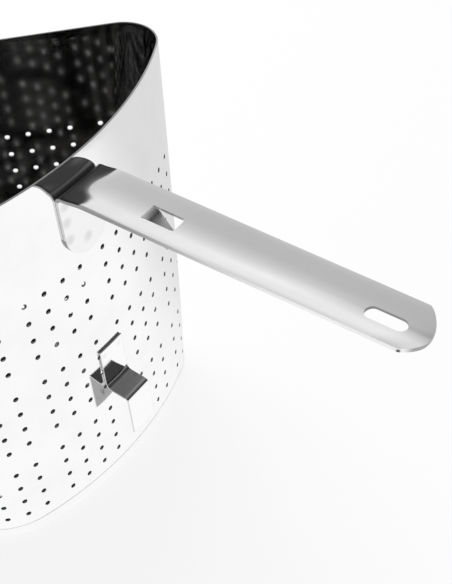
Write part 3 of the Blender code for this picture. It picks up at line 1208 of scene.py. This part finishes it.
@dataclass
class StrapHandle(Sheetwork):
    """The handle: tab, bend, dished strap, lanced tongue and hanging slot in one strip."""

    tab_width: float = 0.0250
    tab_below_rim: float = 0.0459
    below_rim: float = 0.0094
    bend_radius: float = 0.0012
    root_width: float = 0.0253
    end_width: float = 0.0232
    reach: float = 0.1539
    drop: float = 0.0030
    tip_radius: float = 0.0139
    crest_below_edges: float = 0.00125
    dish_root: float = 0.0015
    dish_end: float = 0.0025
    dish_run_in: float = 0.0105
    flank_start: float = 0.42
    lip_start: float = 0.82
    lip_slope: float = 0.30
    slot_width: float = 0.0060
    slot_length: float = 0.0163
    slot_to_tip: float = 0.0088
    slot_lead: float = math.radians(20.0)
    tongue_reach: float = 0.0350
    tongue_width: float = 0.0080
    tongue_length: float = 0.0150
    tongue_angle: float = math.radians(52.0)
    tongue_bend: float = 0.0030
    tongue_clearance: float = 0.0003
    tongue_corner: float = 0.0010
    tongue_parts: tuple[int, int, int] = (10, 8, 6)
    columns: int = 32
    sides: int = 18
    layers: int = 6
    patch_margin: float = 0.0030
    strap_step: float = 0.0016
    foot_rows: int = 16
    tab_rows: int = 22
    bend_rows: int = 12
    tip_parts: int = 48
    slot_parts: int = 24
    # A dark spot is painted at this burr on the strap's lower corner: painted shade, drawn with the
    # weld tint spot mask.
    burr: Point = (-0.0116, -0.2081, 0.1800)
    spots: tuple[Flat, ...] = ((-0.0096, 0.1763), (-0.0104, 0.1682), (-0.0105, 0.1594),
                               (-0.0008, 0.1546))

    @property
    def bend_outside(self) -> float:
        """Radius on the outside of the bend."""
        return self.bend_radius + self.thickness

    @property
    def patch_span(self) -> Flat:
        """Reach of both ends of the patch round the tongue's opening."""
        return (self.tongue_reach - self.patch_margin,
                self.tongue_reach + self.tongue_length + self.patch_margin)

    @property
    def slot_span(self) -> Flat:
        """Reach of both ends of the hanging slot."""
        end = self.reach - self.slot_to_tip
        return end - self.slot_length, end

    def finishes(self) -> list[SteelFinish]:
        """List the finishes in slot order, a face and an edge for each zone, then the rounding.

        Returns:
            Those of the strap, tongue, tab, foot, bend and lips, and the broken edge's.
        """
        # Painted light farther from the wall, and painted shade on the -X side farther out, at the
        # tip's -X corner and along the -X edge by the root.
        face = SteelFinish("handle_satin", grey(0.86, 0.005), 0.13, smudge=0.03,
                           lay=Lay.ALONG_HANDLE, mark_scale=90.0, wave_relief=0.3,
                           shades=(Shade(OUTWARD, 0.110, 0.185, grey(0.95)),
                                   Shade((-6.0, -1.0, 0.0), 0.172, 0.215, grey(0.80)),
                                   Shade((-1.2, -1.0, 0.0), 0.206, 0.219, grey(0.66)),
                                   Shade((-60.0, 1.0, 0.0), 0.585, 0.660, grey(0.36))),
                           heat_places=(self.burr,), heat_radius=0.0005, heat_depth=0.40)
        # Painted light on the cut edge farther from the wall, and painted shade by the root and
        # round the tip.
        edge = SteelFinish.cut_edge("handle_cut_edge", grey(0.36, -0.002), 0.34,
                                    shades=(Shade(OUTWARD, 0.080, 0.172, grey(0.98, -0.005)),
                                            Shade(OUTWARD, 0.2092, 0.2122, grey(0.40))),
                                    heat_places=(self.burr,), heat_radius=0.0007,
                                    heat_depth=0.65)
        # A light lip round the tongue's opening, painted light, that turns dark round the hanging
        # slot, painted shade.
        lip = SteelFinish.cut_edge("opening_lip", grey(0.90, -0.005), 0.30,
                                   shades=(Shade(OUTWARD, 0.150, 0.185, grey(0.24)),))
        # A darker finish in the crease where the strap bends away from the wall: painted shade.
        bend = SteelFinish("drawn_bend", (0.34, 0.338, 0.335), 0.24, smudge=0.04,
                           mark_scale=300.0, mark_relief=0.15)
        foot_edge = SteelFinish.cut_edge("foot_cut_edge", grey(0.34, -0.002), 0.32)
        # The tongue below the strap: darker and rougher than the strap.
        tongue = SteelFinish("tongue_scuffed", grey(0.60), 0.40, smudge=0.08, stain=0.20,
                             mark_scale=400.0, mark_relief=0.4)
        tab = SteelFinish("tab_polish", grey(0.900, 0.005), 0.09, stain=0.02, lay=Lay.UPRIGHT,
                          mark_scale=90.0, mark_relief=0.04, wave_relief=0.3,
                          heat_places=self.weld_places(), heat_depth=0.16)
        tab_edge = SteelFinish.cut_edge("tab_cut_edge", grey(0.72, -0.005), 0.30)
        # The rounded edges turn dark round the tab's foot: a painted contact shadow.
        rounding = SteelFinish("handle_broken_edge", grey(0.66, -0.005), 0.25,
                               shades=(Shade(DOWN, -0.168, -0.160, grey(0.22)),))
        return [face, edge, tongue, edge, tab, tab_edge, tab, foot_edge, bend, edge, face, lip,
                rounding]

    def straight_half(self, reach: float) -> float:
        """Return half the width between the strap's straight edges."""
        share = reach / self.reach
        return (self.root_width + (self.end_width - self.root_width) * share) / 2

    def dish_rise(self, across: float) -> float:
        """Draw the dish from its middle to its edge: hollow, even flank, flatter lip.

        Args:
            across: The place, 0 in the middle and 1 at the edge.

        Returns:
            The rise there, from 0 to 1.
        """
        flank = self.flank_start / 2
        lip = flank + self.lip_start - self.flank_start
        full = lip + (1 - self.lip_start) * (1 + self.lip_slope) / 2
        if across <= self.flank_start:
            return across * across / (2 * self.flank_start) / full
        if across <= self.lip_start:
            return (flank + across - self.flank_start) / full
        past = (across - self.lip_start) / (1 - self.lip_start)
        return (lip + (1 - self.lip_start) * past * (1 - (1 - self.lip_slope) * past / 2)) / full

    def top(self, x: float, reach: float) -> float:
        """Find the upper face.

        Args:
            x: Distance from the strap's middle.
            reach: Distance from the wall.

        Returns:
            The height there.
        """
        share = reach / self.reach
        edge = SEGMENT.height - self.below_rim - self.drop * share
        ease = smooth_step((reach - self.bend_outside) / self.dish_run_in)
        depth = self.dish_root + (self.dish_end - self.dish_root) * share
        rise = self.dish_rise(min(abs(x) / self.straight_half(reach), 1.0))
        return edge - self.crest_below_edges * (1 - ease) - depth * ease * (1 - rise)

    def face_point(self, flat: Flat) -> Point:
        """Return the point of the upper face at a width and reach."""
        x, reach = flat
        return x, SEGMENT.seat_y - reach, self.top(x, reach)

    def tab_points(self) -> list[list[Point]]:
        """Draw the tab, from its round foot up, and the bend.

        Returns:
            The points of each row, from right to left.
        """
        radius = self.tab_width / 2
        foot = SEGMENT.height - self.tab_below_rim
        bend_foot = self.top(radius, self.bend_outside) - self.bend_outside
        steps = [(radius * math.sin(a), SEGMENT.seat_y, foot + radius * (1 - math.cos(a)), 1.0)
                 for a in spread(0.0, QUARTER_TURN, self.foot_rows)]
        steps += [(radius, SEGMENT.seat_y, z, 1.0)
                  for z in spread(foot + radius, bend_foot, self.tab_rows)[1:]]
        end_half = self.straight_half(self.bend_outside)
        for part in spread(0.0, 1.0, self.bend_rows)[1:]:
            angle = QUARTER_TURN * part
            steps.append((radius + (end_half - radius) * part,
                          SEGMENT.seat_y - self.bend_outside * (1 - math.cos(angle)),
                          bend_foot + self.bend_outside * math.sin(angle), 1.0 - part))
        return [[self.settled(half * share, y, z, hold)
                 for share in spread(1.0, -1.0, self.columns)] for half, y, z, hold in steps]

    def strap_row(self, reach: float) -> list[Flat]:
        """Return one row across the strap, from right to left."""
        half = self.straight_half(reach)
        return [(half * share, reach) for share in spread(1.0, -1.0, self.columns)]

    def strap_rows(self, sheet: SheetMesh, start: float, end: float) -> list[list[int]]:
        """Add the rows of a plain run of the strap.

        Args:
            sheet: The mesh to draw in.
            start: Reach of the row that is already there.
            end: Reach of the last row.

        Returns:
            The new rows.
        """
        parts = max(int((end - start) / self.strap_step), 1)
        return [sheet.row(map(self.face_point, self.strap_row(reach)))
                for reach in spread(start, end, parts)[1:]]

    def edge_run(self, start: float, end: float, side: float) -> list[Flat]:
        """Return points down one straight edge of the strap."""
        return [(side * self.straight_half(r), r) for r in spread(start, end, self.sides)]

    def opening(self) -> tuple[list[Flat], list[Flat]]:
        """Lay out the patch that the tongue is lanced from.

        Returns:
            The loop round the patch and the loop of the opening itself.
        """
        start, end = self.patch_span
        outer = loop(self.strap_row(start), self.edge_run(start, end, -1.0),
                     self.strap_row(end)[::-1], self.edge_run(end, start, 1.0))
        half, corner = self.tongue_width / 2, self.tongue_corner
        hinge, far = self.tongue_reach, self.tongue_reach + self.tongue_length
        left, right = ((side * (half - corner), far - corner) for side in (-1.0, 1.0))
        out = [(-half, hinge), *arc(left, corner, math.pi, 1.5 * QUARTER_TURN)]
        across = arc(left, corner, 1.5 * QUARTER_TURN, QUARTER_TURN)
        across += arc(right, corner, QUARTER_TURN, 0.5 * QUARTER_TURN)
        back = [*arc(right, corner, 0.5 * QUARTER_TURN, 0.0), (half, hinge)]
        return outer, loop(along([(half, hinge), (-half, hinge)], self.columns),
                           along(out, self.sides), along(across, self.columns),
                           along(back, self.sides))

    def hanging_end(self) -> tuple[list[Flat], list[Flat]]:
        """Lay out the end of the strap.

        Returns:
            The loop round it and the loop of the hanging slot.
        """
        slot_start, slot_end = self.slot_span
        start = slot_start - self.patch_margin
        half = self.straight_half(start)
        lean = math.acos(min(self.straight_half(self.reach) / self.tip_radius, 1.0))
        tip = arc((0.0, self.reach - self.tip_radius), self.tip_radius, math.pi - lean, lean,
                  self.tip_parts)
        parts = 4 * self.sides
        outer = loop(self.strap_row(start), along([(-half, start), *tip, (half, start)], parts))
        radius, lead = self.slot_width / 2, self.slot_lead
        near, far = (0.0, slot_start + radius), (0.0, slot_end - radius)
        facing = arc(near, radius, -lead, lead - math.pi, self.slot_parts)
        rest = arc(near, radius, lead - math.pi, -math.pi, self.slot_parts // 4)
        rest += arc(far, radius, math.pi, 0.0, self.slot_parts)
        rest += arc(near, radius, 0.0, -lead, self.slot_parts // 4)
        return outer, loop(along(facing, self.columns), along(rest, parts))

    def zone(self, row: int, tab_end: int) -> StrapSlot:
        """Choose the zone of the band that ends at a row of the tab, bend or strap.

        Args:
            row: The row's number.
            tab_end: The number of the first row past the bend.

        Returns:
            Its zone.
        """
        if row <= self.foot_rows:
            return StrapSlot.FOOT
        if row < tab_end - self.bend_rows:
            return StrapSlot.TAB
        return StrapSlot.BEND if row < tab_end else StrapSlot.STRAP

    def patch(self, sheet: SheetMesh, outer: Sequence[Flat], inner: Sequence[Flat],
              first_row: Sequence[int]) -> list[list[int]]:
        """Fill the face between a loop on the strap and an opening in it.

        Args:
            sheet: The mesh to draw in.
            outer: The loop on the strap; its first points lie on first_row.
            inner: The loop of the opening, with as many points.
            first_row: Points that are already drawn.

        Returns:
            The rings of points from the outer loop to the opening.
        """
        drawn = len(first_row)
        rings = [[*first_row, *sheet.row(map(self.face_point, outer[drawn:]))]]
        for share in spread(0.0, 1.0, self.layers)[1:]:
            rings.append(sheet.row(self.face_point(between(a, b, share))
                                   for a, b in zip(outer, inner)))
        for low, high in zip(rings, rings[1:]):
            slot = StrapSlot.LIPS if high is rings[-1] else StrapSlot.STRAP
            sheet.band(low, high, slot, closed=True)
        return rings

    def tongue(self, sheet: SheetMesh, hinge: Sequence[int]) -> None:
        """Carry the sheet on from the hinge, bent down through the opening.

        Args:
            sheet: The mesh to draw in.
            hinge: The points of the hinge line.
        """
        bend_parts, straight_parts, round_parts = self.tongue_parts
        radius, corner = self.tongue_bend + self.thickness, self.tongue_corner
        half = self.tongue_width / 2
        narrow = 1 - self.tongue_clearance / half
        placed = [(radius * math.sin(a), -radius * (1 - math.cos(a)), 0.0)
                  for a in spread(0.0, self.tongue_angle, bend_parts)[1:]]
        out, rise, _ = placed[-1]
        straight = self.tongue_length - radius * self.tongue_angle - corner
        across, down = math.cos(self.tongue_angle), math.sin(self.tongue_angle)
        runs = spread(0.0, straight, straight_parts)[1:]
        runs += [straight + corner * math.sin(a)
                 for a in spread(0.0, QUARTER_TURN, round_parts)[1:]]
        placed += [(out + across * run, rise - down * run, max(run - straight, 0.0))
                   for run in runs]
        last = list(hinge)
        base = [sheet.points[index] for index in hinge]
        for out, rise, past in placed:
            trim = corner - math.sqrt(max(corner * corner - past * past, 0.0))
            factor = narrow * (half * narrow - trim) / (half * narrow)
            row = sheet.row((x * factor, y - out, z + rise) for x, y, z in base)
            sheet.band(last, row, StrapSlot.TONGUE)
            last = row

    def build(self) -> None:
        """Draw the handle from the tab's foot to the strap's tip."""
        sheet = SheetMesh()
        patch_start, patch_end = self.patch_span
        rows = [sheet.row(points) for points in self.tab_points()]
        tab_end = len(rows)
        rows += self.strap_rows(sheet, self.bend_outside, patch_start)
        for index, (low, high) in enumerate(zip(rows, rows[1:]), start=1):
            sheet.band(low, high, self.zone(index, tab_end))
        rings = self.patch(sheet, *self.opening(), rows[-1])
        self.tongue(sheet, rings[-1][:self.columns + 1])
        far_start = self.columns + self.sides
        rows = [rings[0][far_start:far_start + self.columns + 1][::-1]]
        rows += self.strap_rows(sheet, patch_end, self.slot_span[0] - self.patch_margin)
        for low, high in zip(rows, rows[1:]):
            sheet.band(low, high, StrapSlot.STRAP)
        self.patch(sheet, *self.hanging_end(), rows[-1])
        self.make(sheet, "strap_handle", "handle_steel", "handle", 0, 1)


class HookSlot(IntEnum):
    """Material slot of the back of each zone of the hook; its face and edge come just before."""

    PLATE = 2
    SWEEP = 5
    SHELF = 8
    LEG = 11


class StripPath:
    """The face line of a bent strip, carried on run by run from a place on the wall."""

    def __init__(self, y: float, z: float, heading: float) -> None:
        """Start on the wall with a heading."""
        self.y, self.z, self.heading = y, z, heading
        self.steps: list[tuple[float, float, float, int]] = [(y, z, 1.0, HookSlot.PLATE)]

    def straight(self, length: float, parts: int, zone: HookSlot, hold: float = 0.0) -> None:
        """Go straight on."""
        self.carry(length / parts, 0.0, parts, zone, (hold, hold))

    def bend(self, radius: float, angle: float, parts: int, zone: HookSlot,
             holds: Flat = (0.0, 0.0)) -> None:
        """Turn on a radius."""
        self.carry(2 * radius * math.sin(abs(angle) / parts / 2), angle, parts, zone, holds)

    def carry(self, chord: float, angle: float, parts: int, zone: HookSlot, holds: Flat) -> None:
        """Go on in equal chords.

        Args:
            chord: The length of each.
            angle: How far the line turns over the run.
            parts: How many there are.
            zone: The zone that they belong to.
            holds: How much the strip follows the wall where the run starts and where it ends.
        """
        half_turn = angle / parts / 2
        for hold in spread(*holds, parts)[1:]:
            self.heading += half_turn
            self.y += chord * math.cos(self.heading)
            self.z += chord * math.sin(self.heading)
            self.heading += half_turn
            self.steps.append((self.y, self.z, hold, zone))


@dataclass
class DrainHook(Sheetwork):
    """The drain hook: plate on the wall, swept shelf and hanging leg."""

    thickness: float = 0.0010
    width: float = 0.0150
    top_below_rim: float = 0.1046
    plate_length: float = 0.0207
    sweep_radius: float = 0.0027
    shelf_slope: float = math.radians(6.0)
    shelf_length: float = 0.0074
    leg_radius: float = 0.0013
    leg_length: float = 0.0217
    columns: int = 20
    plate_parts: int = 20
    sweep_parts: int = 16
    shelf_parts: int = 8
    corner_parts: int = 6
    leg_parts: int = 26
    spot_radius: float = 0.0012
    spot_depth: float = 0.00003
    spots: tuple[Flat, ...] = ((-0.0052, 0.0852), (0.0046, 0.0850))

    def finishes(self) -> list[SteelFinish]:
        """List the finishes in slot order: face, edge and back of each zone, then the rounding.

        Returns:
            Those of the plate, sweep, shelf and leg, and the broken edge's.
        """
        face = SteelFinish("hook_polish", grey(0.97, 0.005), 0.08, stain=0.02, lay=Lay.UPRIGHT,
                           mark_relief=0.04, wave_relief=0.3, heat_places=self.weld_places(),
                           heat_depth=0.10, heat_radius=0.0012)
        shelf = SteelFinish("hook_shelf_satin", grey(0.80, 0.005), 0.12, smudge=0.03,
                            mark_relief=0.04, wave_relief=0.3)
        # A darker finish in the concave bend, darkest at its top next to the plate: painted shade.
        sweep = SteelFinish("hook_sweep_drawn", grey(0.66, 0.002), 0.18, smudge=0.03,
                            mark_scale=200.0, mark_relief=0.08,
                            shades=(Shade(UP, 0.0664, 0.0669, grey(0.18)),))
        # The cut edges turn light along the plate's top: painted light.
        edge = SteelFinish.cut_edge("hook_cut_edge", grey(0.56, -0.005), 0.34,
                                    shades=(Shade(UP, 0.0868, 0.0884, grey(0.92, -0.005)),))
        leg_edge = SteelFinish.cut_edge("leg_cut_edge", grey(0.92, -0.005), 0.30)
        back = SteelFinish("hook_mill_back", grey(0.42, -0.002), 0.16, smudge=0.04)
        rounding = SteelFinish("hook_broken_edge", grey(0.70, -0.005), 0.25)
        return [face, edge, back, sweep, edge, back, shelf, edge, back, face, leg_edge, back,
                rounding]

    def path(self) -> list[tuple[float, float, float, int]]:
        """Draw the face line of the strip.

        Returns:
            Y, Z, how much it still follows the wall, and the zone of the run that ends there.
        """
        turn = QUARTER_TURN - self.shelf_slope
        line = StripPath(SEGMENT.seat_y, SEGMENT.height - self.top_below_rim, -QUARTER_TURN)
        line.straight(self.plate_length, self.plate_parts, HookSlot.PLATE, hold=1.0)
        line.bend(self.sweep_radius + self.thickness, -turn, self.sweep_parts, HookSlot.SWEEP,
                  (1.0, 0.0))
        line.straight(self.shelf_length, self.shelf_parts, HookSlot.SHELF)
        line.bend(self.leg_radius, turn, self.corner_parts, HookSlot.LEG)
        line.straight(self.leg_length, self.leg_parts, HookSlot.LEG)
        return line.steps

    def build(self) -> None:
        """Draw the hook along its face line."""
        sheet = SheetMesh()
        places = spread(-self.width / 2, self.width / 2, self.columns)
        path = self.path()
        rows = [sheet.row(self.settled(x, y, z, hold) for x in places) for y, z, hold, _ in path]
        for low, high, (*_, zone) in zip(rows, rows[1:], path[1:]):
            sheet.band(low, high, zone)
        self.make(sheet, "hook_strip", "hook_steel", "drain_hook", -2, -1)


# Studio

@dataclass
class Studio:
    """The floor, the surroundings, a soft lamp and the camera."""

    floor_size: float = 5.0
    floor_drop: float = 0.0001
    floor_grey: float = 0.93
    floor_white: float = 0.88
    floor_fall: float = 0.25
    fall_centre: Point = (-0.15, -0.35, 0.0)
    fall_range: Flat = (0.33, 0.47)
    lit_side: Point = (0.780, 0.625, 0.0)
    lit_range: Flat = (0.25, 0.80)
    lit_level: float = 1.30
    lit_fall: float = 0.86
    behind_range: Flat = (0.05, 0.60)
    shadow_range: Flat = (0.68, 0.80)
    shadow_depth: float = 0.85
    dim_level: float = 0.05
    high_level: float = 0.10
    high_range: Flat = (0.60, 0.85)
    zenith_level: float = 0.35
    zenith_range: Flat = (0.93, 0.995)
    horizon_range: Flat = (0.02, 0.16)
    least_level: float = 0.0001
    camera_place: Point = (-0.2287, -0.3130, 0.4445)
    camera_right: Point = (0.5742, -0.8163, -0.0636)
    camera_down: Point = (-0.6003, -0.3668, -0.7107)
    camera_forward: Point = (0.5568, 0.4463, -0.7006)
    lens: float = 67.05
    sensor: float = 36.0
    nearest: float = 0.01
    lamp_place: Point = (0.35, 0.55, 1.30)
    lamp_size: float = 0.9
    lamp_power: float = 16.0

    @staticmethod
    def ray(wiring: Wiring, kind: str) -> Socket:
        """Return 1 for rays of a kind, else 0."""
        return wiring.add("ShaderNodeLightPath", output=f"Is {kind} Ray")

    def floor(self) -> None:
        """Lay the pale floor, which keeps a soft shadow and shows a painted pool of light in
        reflections.
        """
        half = self.floor_size / 2
        sheet = SheetMesh()
        corners = [(-half, -half), (half, -half), (half, half), (-half, half)]
        sheet.face(sheet.row((x, y, -self.floor_drop) for x, y in corners))
        material = bpy.data.materials.new("pale_floor")
        material.use_nodes = True
        nodes = material.node_tree.nodes
        wiring = Wiring(material.node_tree)
        nodes.remove(nodes["Principled BSDF"])
        matt = wiring.add("ShaderNodeBsdfDiffuse", None,
                          {"Color": (*grey(self.floor_grey), 1.0)})
        camera, mirrored = self.ray(wiring, "Camera"), self.ray(wiring, "Glossy")
        place = wiring.add("ShaderNodeTexCoord", output="Object")
        # In mirrored rays the floor darkens away from a centre: a painted pool of light.
        away = wiring.distance(place, self.fall_centre).eased(*self.fall_range)
        pale = wiring.blend(mirrored * away * self.floor_fall, WHITE, BLACK)
        white = wiring.add("ShaderNodeEmission", None, {"Color": pale, "Strength": 1.0})
        both = wiring.add("ShaderNodeMixShader", None,
                          {0: (camera * self.floor_white).larger(mirrored), 1: matt, 2: white})
        wiring.feed(nodes["Material Output"], {"Surface": both})
        floor = sheet.build("studio_floor", [material])

    def surroundings(self) -> None:
        """Light the scene by direction: a bright side, a dim camera side and a white background."""
        world = bpy.data.worlds.new("soft_studio")
        bpy.context.scene.world = world
        world.use_nodes = True
        wiring = Wiring(world.node_tree)
        toward = wiring.add("ShaderNodeTexCoord", output="Generated")
        up = wiring.dot(toward, UP)
        level = (1.0 - up * up).larger(self.least_level).root()
        lit = (wiring.dot(toward, self.lit_side) / level).eased(*self.lit_range)
        beside = 1.0 - (wiring.dot(toward, BACK) / level).eased(*self.behind_range)
        lit = lit * (1.0 - self.shadow_depth * up.eased(*self.shadow_range) * beside)
        bright = self.lit_level - self.lit_fall * up
        dim = (self.dim_level + self.high_level * up.eased(*self.high_range)
               + self.zenith_level * up.eased(*self.zenith_range))
        sky = lit * bright + (1.0 - lit) * dim
        horizon = 1.0 - up.eased(*self.horizon_range)
        sky = horizon + (1.0 - horizon) * sky
        camera = self.ray(wiring, "Camera")
        background = world.node_tree.nodes["Background"]
        wiring.feed(background, {"Color": WHITE, "Strength": camera + (1.0 - camera) * sky})

    def lamp(self) -> None:
        """Hang one large soft lamp."""
        light = bpy.data.lights.new("soft_box", "AREA")
        light.shape = "DISK"
        light.size = self.lamp_size
        light.energy = self.lamp_power
        box = bpy.data.objects.new("soft_box", light)
        place = Vector(self.lamp_place)
        box.matrix_world = (Matrix.Translation(place)
                            @ (-place).to_track_quat("-Z", "Y").to_matrix().to_4x4())
        box.visible_glossy = False
        bpy.context.collection.objects.link(box)

    def camera(self) -> None:
        """Set the camera at the photograph's viewing angle."""
        data = bpy.data.cameras.new("camera")
        data.lens = self.lens
        data.sensor_width = self.sensor
        data.clip_start = self.nearest
        eye = bpy.data.objects.new("camera", data)
        axes = Matrix((self.camera_right, [-v for v in self.camera_down],
                       [-v for v in self.camera_forward])).transposed()
        eye.matrix_world = Matrix.Translation(Vector(self.camera_place)) @ axes.to_4x4()
        bpy.context.collection.objects.link(eye)
        bpy.context.scene.camera = eye

    def build(self) -> None:
        """Set up everything round the object."""
        bpy.context.scene.view_settings.view_transform = "Standard"
        self.camera()
        self.surroundings()
        self.lamp()
        self.floor()


def main() -> None:
    """Build the studio and then each sub-assembly."""
    logging.basicConfig(level=logging.INFO)
    for part in (Studio(), PerforatedWall(), BasePan(), WeldBeads(), StrapHandle(), DrainHook()):
        part.build()


if __name__ == "__main__":
    main()
